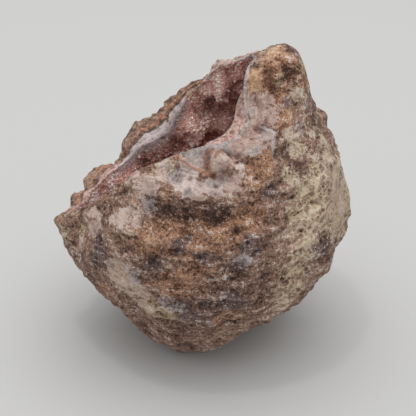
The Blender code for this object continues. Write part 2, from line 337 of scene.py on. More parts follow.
def marks(direction):
    """How deep the pits and cracks are at each point, in millimetres."""
    depth = swelling(direction, PITS)
    for route, width, deep in CRACKS:
        depth += deep * ribbon(direction, route, width)
    return depth

# %% Skin patches
CREAM_COAT = (
    (-34, 15, 10), (-22, 6, 12), (-24, 26, 11), (-16, 36, 6), (-44, 22, 7), (-40, 3, 7), (-8, 16, 13), (8, 4, 15),
    (26, 18, 12), (14, -14, 11), (-48, 34, 4), (62, -2, 10), (150, 18, 10), (170, -6, 9), (-52, -8, 6),
    (-51, -22, 6), (-38, 43, 5),
)
BROWN_BLOTCHES = (
    (-20, 38, 3), (-6, 30, 3), (-34, 26, 2.2), (-16, 20, 2.2), (-28, 37, 3), (-38, 36, 2.4), (-24, 27, 2.4),
    (-31, 30, 1.8), (-30, 21, 2), (-14, 30, 2.5), (20, 10, 4), (-36, 0, 8),
)
LACE = ((-43, 8, 9), (-38, 17, 7), (-49, -4, 8), (-36, 27, 7), (-46, 20, 7), (-55, -12, 7), (-52, -23, 6))
SMOOTH_CREAM = ((-27, 14, 7), (-24, 22, 6), (-18, 6, 8), (4, 0, 8))
BEIGE_CALLUS = ((-124, -10, 8), (-119, -16, 6), (-130, -6, 4), (75, 22, 8), (120, -8, 9))

ring_places = ring(np.arange(8) * 45.0, polar=100.0)
print("cream at eight places round the middle:", patch(ring_places, CREAM_COAT, 0).round(1))

# %% [markdown]
# Now the outside of the skin. Its rings run from the closed end to the broken edge. Near the edge the radius is
# pulled to the edge's own radius, which has chips of its own and one long dip at the back. On the brown rock the
# finest relief is domed grains with creases, laid out in folds that run nearly level. The coat has brown gaps, is
# worn to a lace with small holes on its front side, and is nearly smooth in places.

# %% The rings of the skin
BEARINGS = 512
SKIN_RINGS = 142
FACE_RINGS = 32
WALL_RINGS = 16
EDGE_POLAR = 56.0
EDGE_PULL = 16.0
DIP_BEARING = 72
DIP_WIDTH = 9
CLOSED_END = 180

bearing = np.arange(BEARINGS) * 360 / BEARINGS
edge_ring = ring(bearing) * MEAN_RADIUS
edge_chips = 0.9 * clouds(edge_ring, 3.4) + 0.7 * clouds(edge_ring, 1.5, (2, 7, 1))
outer_polar = around(OUTER_POLAR, bearing) + edge_chips
outer_radius = around(OUTER_RADIUS, bearing) + 0.6 * clouds(edge_ring, 2.2, (8, 2, 8))
outer_radius -= bell(bearing - DIP_BEARING, DIP_WIDTH)

t = np.linspace(0, 1, SKIN_RINGS + 1)[:, None]
polar = CLOSED_END + (EDGE_POLAR - CLOSED_END) * t + (outer_polar - EDGE_POLAR) * t**3
skin_way = toward(polar, np.broadcast_to(bearing, polar.shape))
pull = bell(polar - outer_polar, EDGE_PULL)
edge_radius = skin_radius(toward(outer_polar, bearing))
smooth_skin = skin_radius(skin_way) + pull * (outer_radius - edge_radius)
print("skin grid", skin_way.shape[:2], "finest step", round(2 * pi * MEAN_RADIUS / BEARINGS, 2), "mm")

# %% Coats and fine relief of the skin
FOLD_STRETCH = np.array([0.42, 0.42, 1.25])

edge = ragged_edge(skin_way)
gaps = 1 - 0.8 * patch(skin_way, BROWN_BLOTCHES, edge)
cream = patch(skin_way, CREAM_COAT, edge) * gaps
lace = patch(skin_way, LACE, edge) * gaps
callus = patch(skin_way, BEIGE_CALLUS, edge, ragged=0.5)
smooth_cream = patch(skin_way, SMOOTH_CREAM, edge, ragged=0.5)
worn = np.clip(1 - 0.45 * cream - 0.4 * callus - 0.5 * smooth_cream, 0.12, 1)

p = skin_way * MEAN_RADIUS
folds = clouds(p * FOLD_STRETCH, 3.0, (2, 9, 4)) + 0.5 * clouds(p * FOLD_STRETCH, 1.5, (7, 4, 4))
grain_tops = domes(p + 0.8 * folds[..., None], 2.7, (4, 4, 1)) - 0.35
small_tops = domes(p + 0.5 * folds[..., None], 1.5, (9, 2, 6)) - 0.35
lumps = 1.1 * clouds(p, 4.8, (6, 1, 8)) + 0.62 * folds + 0.32 * grain_tops + 0.15 * small_tops
pits = blend((0.4 - cells(p, 2.4, (1, 2, 3))) / 0.26) * blend(clouds(p, 8, (6, 6, 6)) * 3 + 0.35)
lace_pits = blend((0.52 - cells(p, 2.7, (3, 3, 8))) / 0.3) * lace * blend(clouds(p, 6, (2, 4, 4)) * 2.5 + 0.5)
fine_relief = worn * (0.8 * lumps - 0.8 * pits) - 0.9 * lace_pits
skin_marks = marks(skin_way)
named = swelling(skin_way, KNOBS) - skin_marks
skin = skin_way * (smooth_skin + (1 - 0.5 * pull) * roughness(skin_way) + named + fine_relief)[..., None]
print("fine relief from", round(float(fine_relief.min()), 1), "to", round(float(fine_relief.max()), 1), "mm")

# %% [markdown]
# The wall of the hollow is a smooth egg-shaped bowl, pulled to the inner edge near the top. On the near right side
# a lip of druse, which is a skin of tiny crystals, reaches in over the hollow and hangs a little lower.

# %% The wall of the hollow
HOLLOW_RISE = 10.0
HOLLOW_RADII = np.array([34.0, 29.0, 27.0])
LIP_SIDE = (322, 0.955, 0.035)
LIP_REACH = 5.0
LIP_DROP = 3.3


def hollow_radius(direction):
    x, y, z = (direction @ way / r for way, r in zip((UPHILL, BACK, AXIS), HOLLOW_RADII))
    lift = HOLLOW_RISE / HOLLOW_RADII[2]
    a, b = x * x + y * y + z * z, z * lift
    return (b + np.sqrt(b * b - a * (lift**2 - 1))) / a


def wall_point(t, bearing):
    """A point of the hollow's wall: t is 0 at the broken edge and 1 at the bottom."""
    lip = side(bearing, *LIP_SIDE)
    edge_polar = around(INNER_POLAR, bearing) - LIP_REACH * lip
    polar = edge_polar + (180 - edge_polar) * t
    direction = toward(polar, bearing)
    pull = bell(polar - edge_polar, around(SETTLING, bearing))
    edge = around(INNER_RADIUS, bearing) - LIP_DROP * lip - hollow_radius(toward(edge_polar, bearing))
    return direction * (hollow_radius(direction) + pull * edge)[..., None]


def outward(grid):
    """Directions square to a grid of points, from its steps along the rows and round the bearings."""
    down = np.gradient(grid, axis=0)
    round_ = np.roll(grid, -1, axis=1) - np.roll(grid, 1, axis=1)
    square = np.cross(round_, down)
    return square / np.maximum(np.linalg.norm(square, axis=-1, keepdims=True), 1e-9)


w = np.linspace(0, 1, WALL_RINGS + 1)[:, None] ** 1.5
wall = wall_point(w, np.broadcast_to(bearing, (WALL_RINGS + 1, BEARINGS)))

# %% [markdown]
# The broken face lies between the outer and the inner edge. The layers of the nodule crop out on it one after the
# other, and they break differently: the rock is crumbly, the iron line is a small ridge with a groove inside it,
# and the chalcedony breaks smooth. On the near side the break flaked off a shell-shaped scar, with a valley and an
# arched step in it, an iron line beside it, and a pale vein that runs down to the skin. Shares of the way from the
# outer edge (0) to the inner edge (1) say where the layers are.

# %% The broken face
FACE_SCOOP = 0.07
FAR_SIDE = (115, 0.05, 0.3)
IRON_AT = 0.34
IRON_WIDE = 0.1
GROOVE_GAP = 0.15
GROOVE_WIDE = 0.05
CHALCEDONY_GAP = 0.1
RIM_AT = 0.95
IRON_LINE = ((-113, 47), (-106, 47), (-102, 45.5), (-98, 43.8), (-93, 42.8), (-90, 40.5))
VALLEY = ((-88, 50), (-89, 45.5), (-88.5, 42), (-85.5, 39.5))
ARCH = ((-84, 47.5), (-82, 49.3), (-79, 49.8), (-76, 48.5), (-74.5, 46))
VEIN = ((-52, 55), (-49, 53), (-47, 50), (-50, 47), (-53, 43))

u = np.linspace(0, 1, FACE_RINGS + 1)[:, None]
width = np.linalg.norm(skin[-1] - wall[0], axis=-1)
face = skin[-1] * (1 - u)[..., None] + wall[0] * u[..., None]
face = face - unit(face) * (FACE_SCOOP * width * (4 * u * (1 - u)) ** 2)[..., None]
face_way = unit(face)

far_side = side(bearing, *FAR_SIDE)
near_side = 1 - far_side
iron_at = IRON_AT + 0.07 * clouds(edge_ring, 8, (4, 0, 2)) + 0.07 * clouds(edge_ring, 2.5, (1, 8, 2))
iron_wide = IRON_WIDE + 0.03 * clouds(edge_ring, 3.5, (2, 0, 7))
iron_strong = far_side * (0.7 + 0.3 * blend(0.6 + 1.6 * clouds(edge_ring, 7, (5, 5, 2))))
far_iron = bell(u - iron_at, iron_wide) * iron_strong
far_groove = bell(u - iron_at - GROOVE_GAP, GROOVE_WIDE) * far_side
chalcedony = far_side * blend((u - iron_at - CHALCEDONY_GAP) / 0.12)
near_iron, valley, arch, vein = (
    ribbon(face_way, route, wide) * near_side
    for route, wide in ((IRON_LINE, 0.8), (VALLEY, 1.7), (ARCH, 0.9), (VEIN, 0.8))
)
lip = side(bearing, *LIP_SIDE)
lip_share = 1.15 * LIP_REACH * lip / (outer_polar - around(INNER_POLAR, bearing) + LIP_REACH)
rim_at = RIM_AT - lip_share + 0.03 * clouds(edge_ring, 4.0, (6, 2, 2))
print("the broken face is", round(float(width.min()), 1), "to", round(float(width.max()), 1), "mm wide")

# %% [markdown]
# Relief on the face fades out at its outer edge, where the skin already has it, and at its inner edge, so that it
# meets the wall without a step. The scar broke along thin shells, which show as low curved steps.

# %% Relief of the broken face
KNOB_SIDE = ((-46, 66, 8), (-35, 70, 8), (-52, 50, 4))

crumbly = 0.6 * clouds(face, 2.6, (2, 2, 2)) + 0.4 * clouds(face, 1.2, (7, 1, 3))
crumbly += 0.25 * (domes(face, 1.3, (3, 9, 3)) - 0.4)
shell_phase = 5.0 * clouds(face, 9.0, (5, 5, 9)) + 0.25 * (face_way @ compass(-90, -20)) * MEAN_RADIUS
shells = shell_phase - np.floor(shell_phase)
face_marks = marks(face_way)
knob_side = patch(face_way, KNOB_SIDE, 0)
relief = crumbly * (far_side * (1 - 0.75 * chalcedony) + near_side * (0.3 + 0.7 * knob_side))
relief += 0.5 * far_iron - 0.5 * far_groove + 0.3 * chalcedony
relief += near_side * (0.45 * shells + 0.8 * clouds(face, 5.0, (8, 3, 1)) + 0.35 * clouds(face, 2.4, (1, 3, 8)))
relief += 0.3 * near_iron + 0.35 * vein - 0.4 * valley - 0.3 * arch
relief += 1.5 * lip * bell(u - rim_at, 0.22)
inner_taper = blend((1 - u) / 0.1)
outer_taper = blend(u / 0.12)
face = face + outward(face) * (relief * inner_taper * outer_taper)[..., None]
step_up = (swelling(face_way, KNOBS) - face_marks) * inner_taper
skin_named = (swelling(face_way[:1], KNOBS) - marks(face_way[:1])) * (1 - blend(u / 0.3))
face = face + face_way * (step_up - skin_named * inner_taper)[..., None]

# %% [markdown]
# The grids are joined into one, and a bmesh sphere with as many rings takes its points.

# %% The nodule's mesh
def ball(name, bearings, rings):
    """A sphere whose points know their row, from the closed end up and round, and their step round it."""
    bm = bmesh.new()
    bmesh.ops.create_uvsphere(bm, u_segments=bearings, v_segments=rings, radius=1.0)
    points = np.array([vertex.co for vertex in bm.verts])
    rows = np.rint((np.arcsin(np.clip(points[:, 2], -1, 1)) / pi + 0.5) * rings).astype(int)
    steps = np.rint(np.degrees(np.arctan2(points[:, 1], points[:, 0])) * bearings / 360).astype(int) % bearings
    mesh = bpy.data.meshes.new(name)
    bm.to_mesh(mesh)
    bm.free()
    return add(name, mesh), rows, steps


def settle(piece, points):
    """Gives the piece its points, from millimetres about the nodule's centre, with all faces pointing out."""
    piece.data.vertices.foreach_set("co", ((points + PLACE) * MM).ravel())
    bm = bmesh.new()
    bm.from_mesh(piece.data)
    bmesh.ops.recalc_face_normals(bm, faces=bm.faces)
    bm.to_mesh(piece.data)
    bm.free()
    piece.data.shade_smooth()


nodule_grid = np.concatenate([skin, face[1:-1], wall])
nodule_way = unit(nodule_grid)
nodule_grid[..., 2] = np.maximum(nodule_grid[..., 2], -BASE_DEPTH)
nodule, rows, steps = ball("nodule", BEARINGS, SKIN_RINGS + FACE_RINGS + WALL_RINGS)
settle(nodule, nodule_grid[rows, steps])
print("nodule:", len(nodule.data.vertices), "points")

# %% [markdown]
# The crystals stand on a bed, which is the part of them that has grown together. It is a second sphere,
# pinched into a thin bowl that lines the hollow: its back is sunk a little into the wall and its front swells into
# rounded heads of three sizes, because quartz grows outwards from many centres. A few heads are big enough to have
# a place. How near the bed comes to the broken edge differs round the opening.

# %% The bed's shape
BED_BEARINGS = 256
BED_BACK_RINGS = 8
BED_RINGS = 84
BED_SUNK = 0.3
BED_MEAN_RADIUS = 40
BAND_SIDE = (110, 0.7, 0.15)
TOP_SIDE = (40, 0.8, 0.15)
NEAR_LIP_SIDE = (290, 0.1, 0.4)
BED_START = 0.012
BED_THICKNESS = 0.3
HEAD_SPACINGS = ((9.0, (2, 6, 1)), (4.4, (5, 2, 1)), (2.3, (1, 7, 7)))
HEAD_HEIGHTS = (3.0, 1.7, 0.8)
BIG_HEADS = (
    (80, 56, 4, 2.6), (70, 55.5, 4, 2.4), (100, 33, 6, 4.0), (88, 34, 6, 3.6), (76, 34, 6, 3.8), (64, 33, 5, 3.2),
    (98, 23, 4.5, 3.6), (82, 61, 5, 3.4), (72, 59, 4.5, 3.2), (92, 55, 4, 2.2), (62, 66, 5, 1.6),
    (104, 43, 3.5, 1.4), (128, 14, 6, 1.0), (145, 4, 6, 1.2), (86, 47, 3, -1.6), (78, 46, 4, -2.0),
    (68, 46, 4, -2.0), (58, 46, 4, -1.5), (113, 25, 5, -1.4),
)

bed_bearing = np.arange(BED_BEARINGS) * 360 / BED_BEARINGS
bed_ring = ring(bed_bearing) * BED_MEAN_RADIUS
band = side(bed_bearing, *BAND_SIDE)
far_top = side(bed_bearing, *TOP_SIDE)
near_lip = side(bed_bearing, *NEAR_LIP_SIDE)
bed_start = BED_START - 0.009 * far_top + 0.002 * band + 0.03 * near_lip
bed_start += (0.008 - 0.006 * far_top) * (clouds(bed_ring, 4.0, (1, 1, 6)) + 0.8 * clouds(bed_ring, 1.4, (6, 1, 1)))

down = bed_start + (1 - bed_start) * np.linspace(0, 1, BED_RINGS + 1)[:, None] ** 1.15
bare = wall_point(down, np.broadcast_to(bed_bearing, down.shape))
bare_way = unit(bare)
heads = [np.clip(domes(bare, size, start), 0, 1) for size, start in HEAD_SPACINGS]
depth = BED_THICKNESS
for tall, head in zip(HEAD_HEIGHTS, heads):
    depth = depth + tall * head
depth += 0.8 * (0.3 + clouds(bare, 8))
depth += swelling(bare_way, BIG_HEADS)
depth = np.maximum(depth, 0.2) * blend((down - bed_start) / (0.05 + 0.05 * near_lip))
print("the bed is up to", round(float(depth.max()), 1), "mm thick")

# %% The bed's mesh
def lining(t, depth):
    """Points that far in from the hollow's wall, square to it."""
    at = wall_point(t, np.broadcast_to(bed_bearing, t.shape))
    square = outward(at)
    square[-1] = AXIS
    return at + square * depth[..., None]


behind = bed_start + (1 - bed_start) * np.linspace(0, 1, BED_BACK_RINGS + 1)[:, None]
bed_back = lining(behind, np.full(behind.shape, -BED_SUNK))[::-1]
bed_front = lining(down, depth)
bed_grid = np.concatenate([bed_back, bed_front[1:]])
bed, bed_rows, bed_steps = ball("crystal_bed", BED_BEARINGS, BED_BACK_RINGS + BED_RINGS)
settle(bed, bed_grid[bed_rows, bed_steps])
print("bed:", len(bed.data.vertices), "points")

# %% [markdown]
# Quartz ends in a six-sided pyramid, and in a crust like this little more than the pyramid shows. One crystal is
# modelled: a short six-sided prism whose top face is poked up to a point and whose buried foot is left open. It is
# then repeated some thousands of times with numpy: a size, a spin, a lean and a shift of the tip for each, all from
# one seeded generator.
#
# To find room for them, spots are drawn at random on the bed, and one is kept only if no kept spot is too near.

# %% One crystal
FOOT_RADIUS = 0.9
SHOULDER_RADIUS = 1.0
PRISM_HEIGHT = 0.6
POINT_HEIGHT = 0.95


def one_crystal():
    bm = bmesh.new()
    bmesh.ops.create_cone(
        bm, segments=6, radius1=FOOT_RADIUS, radius2=SHOULDER_RADIUS, depth=PRISM_HEIGHT, cap_ends=True
    )
    top = [face for face in bm.faces if face.normal.z > 0.9]
    made = bmesh.ops.poke(bm, faces=top, offset=POINT_HEIGHT)
    bmesh.ops.delete(bm, geom=[face for face in bm.faces if face.normal.z < -0.9], context="FACES_ONLY")
    bm.verts.index_update()
    tip = made["verts"][0].index
    points = np.array([vertex.co for vertex in bm.verts])
    faces = [[vertex.index for vertex in face.verts] for face in bm.faces]
    bm.free()
    return points, faces, tip


crystal_points, crystal_faces, crystal_tip = one_crystal()
print("one crystal:", len(crystal_points), "points,", len(crystal_faces), "faces")

# %% Spots on the bed
CRYSTAL_SPACING = (0.42, 1.25)
CRYSTAL_TRIES = 300000

draw = np.random.default_rng(11)
upper, lower = bed_front[:-1], bed_front[1:]
area = np.linalg.norm(np.cross(np.roll(upper, -1, axis=1) - upper, lower - upper), axis=-1)
picked = draw.choice(area.size, CRYSTAL_TRIES, p=(area / area.sum()).ravel())
i, j = np.unravel_index(picked, area.shape)
a, b = draw.random((2, CRYSTAL_TRIES, 1))
next_j = (j + 1) % BED_BEARINGS
spots = (bed_front[i, j] * (1 - a) + bed_front[i + 1, j] * a) * (1 - b)
spots += (bed_front[i, next_j] * (1 - a) + bed_front[i + 1, next_j] * a) * b
leans = outward(bed_front)[i, j]
big, small, tiny = (head[i, j] for head in heads)
# How high each spot stands on the heads; it paints the crystals lighter on the tops and darker in the creases.
crest = np.clip(0.4 * big + 0.35 * small + 0.35 * tiny + 0.1 * swelling(bare_way[i, j], BIG_HEADS), 0, 1)
from_start = down[i, j] - bed_start[j]
coarse = np.clip(0.4 + clouds(spots, 7.0, (4, 8, 8)) + 0.6 * clouds(spots, 2.2, (8, 8, 4)), 0, 1)
coarse *= blend(from_start / 0.15)
spacing = CRYSTAL_SPACING[0] + (CRYSTAL_SPACING[1] - CRYSTAL_SPACING[0]) * coarse
print("spots from", round(float(spacing.min()), 2), "to", round(float(spacing.max()), 2), "mm apart")

# %% Room for the crystals
room = {}
kept = []
for n, (spot, gap) in enumerate(zip(spots.tolist(), spacing.tolist())):
    home = tuple(int(c // CRYSTAL_SPACING[1]) for c in spot)
    around_it = [
        other
        for x in (-1, 0, 1) for y in (-1, 0, 1) for z in (-1, 0, 1)
        for other in room.get((home[0] + x, home[1] + y, home[2] + z), ())
    ]
    if all(sum((c - o) ** 2 for c, o in zip(spot, other)) > gap * gap for other in around_it):
        room.setdefault(home, []).append(spot)
        kept.append(n)
kept = np.array(kept)
print(len(kept), "crystals over", round(float(area.sum())), "square mm")

# %% The crystals
SMALLEST = 0.52
EXTRA = 0.85
RARITY = 2.5
TALL = (0.7, 1.5)
FLAT = (0.7, 1.0)
LEAN = 0.5
RAISED = 0.12
TIP_SHIFT = 0.35


def copies(chosen, name):
    """The one crystal turned, sized and leaned for each chosen spot, joined into one piece."""
    number = len(chosen)
    size = spacing[chosen] * (SMALLEST + EXTRA * draw.random(number) ** RARITY)
    tall = size * draw.uniform(*TALL, number)
    spin = draw.uniform(0, 2 * pi, number)
    shape = np.repeat(crystal_points[None], number, axis=0)
    shape[:, crystal_tip, :2] += draw.uniform(-TIP_SHIFT, TIP_SHIFT, (number, 2))
    shape[:, :, 2] += RAISED
    shape *= np.stack([size, size * draw.uniform(*FLAT, number), tall], axis=-1)[:, None]
    turned = shape.copy()
    turned[..., 0] = shape[..., 0] * np.cos(spin)[:, None] - shape[..., 1] * np.sin(spin)[:, None]
    turned[..., 1] = shape[..., 0] * np.sin(spin)[:, None] + shape[..., 1] * np.cos(spin)[:, None]
    z = unit(leans[chosen] + LEAN * draw.normal(size=(number, 3)))
    x = unit(np.cross(z, np.array([0.3, 0.9, 0.2])))
    ways = np.stack([x, np.cross(z, x), z], axis=1)
    placed = np.einsum("nvk,nkc->nvc", turned, ways) + spots[chosen][:, None]
    joined = [[v + n * len(crystal_points) for v in face] for n in range(number) for face in crystal_faces]
    mesh = bpy.data.meshes.new(name)
    mesh.from_pydata(((placed.reshape(-1, 3) + PLACE) * MM).tolist(), [], joined)
    print(name, "triangles:", sum(len(f.vertices) - 2 for f in mesh.polygons))
    return add(name, mesh)


fine_third, middle_third, coarse_third = np.array_split(kept[np.argsort(spacing[kept], kind="stable")], 3)
thirds = ((coarse_third, "quartz_points"), (middle_third, "quartz_crust"), (fine_third, "quartz_druse"))
groups = [(copies(chosen, name), chosen) for chosen, name in thirds]

# %% [markdown]
# What the rock looks like depends on where on it one stands, so the mesh carries that knowledge as attributes: one
# number at each point for each kind of ground. They follow the form exactly, because they come from the same
# patches and layers that shaped it. The materials read them and break them up further with fine noise.
#
# Each list of places is one kind of ground, named by its colour. The shades are apart from them: each only says how
# much lighter or darker a place is painted. Most are the stone's own tone; the dark ones along the groove under the
# scar and in the scar's valley are painted shade, and the light one on the top of the scar's dome is painted light.

# %% Colours of the skin and the scar
COLOURS = {
    "tan": ((-38, 69.5, 2.4), (-40, 67.8, 2.4), (-42, 66, 2.2), (-3, 68.5, 1.6), (-33, 53, 2.6)),
    "plum": (
        (-138, 3, 5), (-133, -4, 4), (-90, 8, 4), (-72, 10, 6), (-60, 30, 4), (-36, 1, 7), (-46, -8, 5),
        (-30, 56, 2.5), (-8, 40, 5), (-94, -22, 7), (-78, -14, 6), (-100, 12, 4), (-24, 34, 3), (-15, 50, 3),
        (-142, -7, 5), (-110, 2, 5), (40, -12, 10), (88, 8, 12), (130, -14, 10), (165, 22, 9), (-20, 33, 2.5),
    ),
    "rust": (
        (-92, 16, 9), (-104, 17, 8), (-80, 17, 8), (-68, 22, 7), (-64, 38, 6), (-58, 44, 4), (-104, -6, 7),
        (-94, -2, 7), (-118, 12, 6), (-26, 67, 5), (-34, 60, 5), (-20, 62, 5), (-3, 68, 3), (-16, 58, 5),
        (-40, 52, 4), (-108, 31, 3), (-88, 51, 2.2), (-74, 52, 1.8), (-66, 34, 5), (-150, 4, 4), (-112, 6, 5),
        (-80, -24, 7), (100, 12, 14), (56, 30, 10), (-140, -22, 6),
    ),
    "olive": (
        (-114, -19, 5), (-107, -22, 5), (-155, 2, 4), (-168, -6, 5), (-50, -18, 5), (70, -20, 9), (-4, 58, 3),
        (-26, 63, 2), (-158, -22, 7),
    ),
    "rose": (
        (65, 63, 5), (46, 67, 5), (82, 57, 4.5), (-79.5, 45, 4.4), (-76, 49.5, 3), (-48, 60, 7), (-54, 55, 5),
        (-68, 50, 5), (-118, 32, 6), (-124, 20, 4), (-120, 18, 3), (-128, 17, 3), (-112, 40, 4), (-58, 50, 5),
        (-75, 36, 4), (-130, 36, 4), (80, 58, 6), (100, 48, 6), (-88, 44, 4), (-84, 52, 4), (-103, 37, 4),
        (-95, 33, 5), (-85, 34, 4), (-146, 8, 6), (-134, 15, 2.5),
    ),
    "grey": (
        (-98, 48.5, 2.4), (-90, 49.5, 2.4), (-106, 38, 3.4), (-87, 37.5, 2.6), (-63, 46, 3), (-98, 33, 2.5),
        (-76, 48, 2), (-50, 53, 2.5), (-101, -18, 3.5), (-107, -16, 3), (-76, 4, 4), (-90, -15, 2), (-84, 38, 3),
        (-116, 27, 4), (-30, 47, 3), (-78, 52, 3), (-104, 40, 3), (-120, -6, 4),
    ),
    "pale": (
        (-101, 46, 3.5), (-95, 47, 3.5), (-97, 42, 3), (-78, 52.5, 2.5), (-81, 39.5, 4), (-99, 38, 3.4),
        (-92, 35, 3.8), (-86, 34, 2.6), (-98, 34, 3), (-103, 35, 2.5), (-113, 43, 2), (-50, 61, 1.8), (-53, 50, 1.4),
        (-90, 48, 2.5), (-72, 42, 2),
    ),
}
CREAM_STREAKS = (
    (-116, 41, 3), (-110, 42.5, 3), (-91, 31, 2.2), (-104, 33, 2), (-112, 38, 2.5), (-24, 57, 2.5), (-17, 54, 2),
)
print("coloured places:", sum(len(places) for places in COLOURS.values()))

# %% Lighter and darker places
# Painted shade: the five dark places along the groove under the scar, at elevation 23 to 25, and the one in the
# scar's valley at -87.5, 44. Painted light: the top of the scar's dome at -80, 45. The rest are the stone's own
# tone.
TONE_AND_PAINTED_LIGHT_PLACES = (
    (-113, 24, 5, -0.28), (-105, 24, 5, -0.3), (-97, 23, 5, -0.33), (-90, 31, 4, -0.2), (-80, 45, 3.4, 0.28),
    (-87.5, 44, 2.2, -0.4), (-93, 47, 2.5, -0.15), (-89, 24, 5, -0.33), (-81, 25, 5, -0.2), (-138, 3, 5, -0.2),
    (-142, -7, 4, -0.2), (-114, 3, 5, -0.25), (-76, -2, 5, -0.2), (-66, -5, 3, -0.2), (-46, -8, 5, -0.1),
    (-101, -33, 5, -0.2), (-90, -15, 4, -0.2), (-60, 30, 4, -0.2), (-26, 66, 3, -0.35), (-31, 66, 3, -0.35),
    (-21, 61, 2.2, -0.3), (-40, 61, 2, -0.15), (-3, 64, 2.5, -0.2), (-81, 42, 5, 0.42), (-30, 56, 3, -0.1),
    (-8, 40, 5, -0.2), (-126, 20, 7, 0.35), (-142, 14, 14, 0.12), (-128, 2, 9, 0.15), (-118, 32, 7, 0.3),
    (-150, 4, 8, -0.02), (-127, -12, 8, 0.2), (-36, 14, 18, 0.3), (-42, -2, 9, 0.25), (-88, -50, 9, 0.1),
    (-92, -28, 12, -0.1), (-92, -8, 12, -0.16), (-112, 12, 5, 0.25), (-122, 21, 3, 0.1), (-96, 38, 3, 0.1),
    (-76, 4, 4, 0.2), (-14, 59, 5, -0.25), (-14, 67, 3, 0.2), (-47, 6, 7, 0.25), (-36, -4, 7, 0.15),
    (-3, 68, 5, 0.35), (-20, 68, 4, 0.2), (-35, 70, 5, 0.15), (-42, 67, 5, 0.3), (-36, 52, 6, 0.4),
    (-50, -23, 7, 0.8), (-47, -14, 4, -0.4), (-61, -19, 5, -0.25), (-77, -38, 7, 0.35), (-35, -1, 8, -0.5),
    (-52, 19, 3.5, -0.5), (-49, 38, 4, 0.35), (-30, 54, 4, 0.3), (-156, 0, 5, 0.4), (-126, 5, 5, 0.2),
    (-139, 8, 4, -0.2), (-117, -2, 5, -0.25), (-110, -20, 7, 0.25), (-66, 36, 6, 0.2), (-48, 60, 8, -0.22),
    (-66, 52, 3, -0.15), (-45, 47, 3, -0.15), (-86, 17, 9, 0.15), (-50, 9, 8, 0.5), (-56, 24, 5, 0.1),
    (-30, 44, 6, 0.15), (-60, 14, 6, -0.1), (-84, 41, 4, 0.1), (-92, 20, 10, -0.08),
)
print("shades:", len(TONE_AND_PAINTED_LIGHT_PLACES))

# %% [markdown]
# The layers at the break differ round the opening. The grey-white band shows on the far side only. The far rim's top
# is pinkish, and at its left end small crystals come up over the edge. On the near right side a pale rim runs
# between the rock and the lip of druse.

# %% The kinds of ground
TOP_RIM_SIDE = (30, 0.86, 0.08)
PALE_RIM_SIDE = (345, 0.64, 0.15)
CHALCEDONY_SIDE = (106, 0.72, 0.15)
LEFT_DRUSE_SIDE = (164, 0.91, 0.05)


def over_nodule(on_skin=0.0, on_face=0.0, on_wall=0.0):
    """One value for each point of the nodule's grid, from its three parts."""
    parts = ((on_skin, SKIN_RINGS + 1), (on_face, FACE_RINGS + 1), (on_wall, WALL_RINGS + 1))
    skin_part, face_part, wall_part = (np.broadcast_to(part, (count, BEARINGS)) for part, count in parts)
    return np.concatenate([skin_part, face_part[1:-1], wall_part])


def give(piece, name, values):
    """Keeps a number for each point of the piece, under that name."""
    attribute = piece.data.attributes.new(name, "FLOAT", "POINT")
    attribute.data.foreach_set("value", values.astype(np.float32))


def wall_top(reach, fade=0.03):
    """1 on the top of the wall, down to that share of it."""
    return 1 - blend((w - reach) / fade)


top_rim = side(bearing, *TOP_RIM_SIDE)
rim_side = side(bearing, *PALE_RIM_SIDE)
band_side = side(bearing, *CHALCEDONY_SIDE)
left_druse = side(bearing, *LEFT_DRUSE_SIDE)
pale_rim = bell(u - rim_at, 0.05 + 0.02 * lip) * rim_side
rim_on_wall = near_side * rim_side * wall_top(0.005, fade=0.01)
pale_wall = band_side * wall_top(0.04) + 0.6 * near_side * wall_top(0.02)
face_druse = np.maximum(blend((u - rim_at - 0.05) / 0.06) * lip, blend((u - 0.5) / 0.15) * left_druse)
nodule_edge = ragged_edge(nodule_way)

ground = {
    "fresh": over_nodule(blend((t - 0.985) / 0.015) * 0.7, 1.0, 1.0),
    "far": over_nodule(0.0, far_side * (1 - top_rim), 1.0),
    "chalcedony": over_nodule(0.0, chalcedony * band_side, pale_wall),
    "rim": np.maximum(over_nodule(0.0, pale_rim, rim_on_wall), ribbon(nodule_way, VEIN, 0.7)),
    "iron": over_nodule(0.0, np.maximum(far_iron, near_iron)),
    "groove": over_nodule(0.0, far_groove),
    "valley": over_nodule(0.0, np.maximum(valley, arch)),
    "druse": over_nodule(0.0, face_druse, np.maximum(lip, left_druse) * wall_top(0.02)),
    "cream": np.maximum(over_nodule(cream), patch(nodule_way, CREAM_STREAKS, nodule_edge)),
    "lace": over_nodule(lace),
    "smooth_cream": over_nodule(smooth_cream),
    "callus": over_nodule(callus),
    "pits": over_nodule(np.maximum(worn * pits, lace_pits) + skin_marks, face_marks),
    "crumb": over_nodule(lumps * worn, crumbly + 0.4 * shells),
    # Tone of each place, with painted shade under the scar and in its valley, and painted light on its dome.
    "tone_and_painted_light": swelling(nodule_way, TONE_AND_PAINTED_LIGHT_PLACES),
}
coloured = over_nodule(1.0, np.maximum(near_side, top_rim))
for name, places in COLOURS.items():
    ground[name] = patch(nodule_way, places, nodule_edge) * coloured
for name, grid in ground.items():
    give(nodule, name, grid[rows, steps])
print(len(ground), "kinds of ground")

# %% [markdown]
# Materials are written as sums. A small class holds a socket of a material's node tree, and adding or multiplying
# two of them adds the Math node that does it. Colours never go through a Math node, which would turn them grey:
# they go through Mix. A plain colour is written as red, green and blue from 0 to 255.

# %% Shader sums
def tone(red, green, blue):
    """A colour as a paint maker's 0 to 255 values, in the linear light that a shader works in."""
    shares = [c / 255 for c in (red, green, blue)]
    return (*[s / 12.92 if s <= 0.04045 else ((s + 0.055) / 1.055) ** 2.4 for s in shares], 1.0)


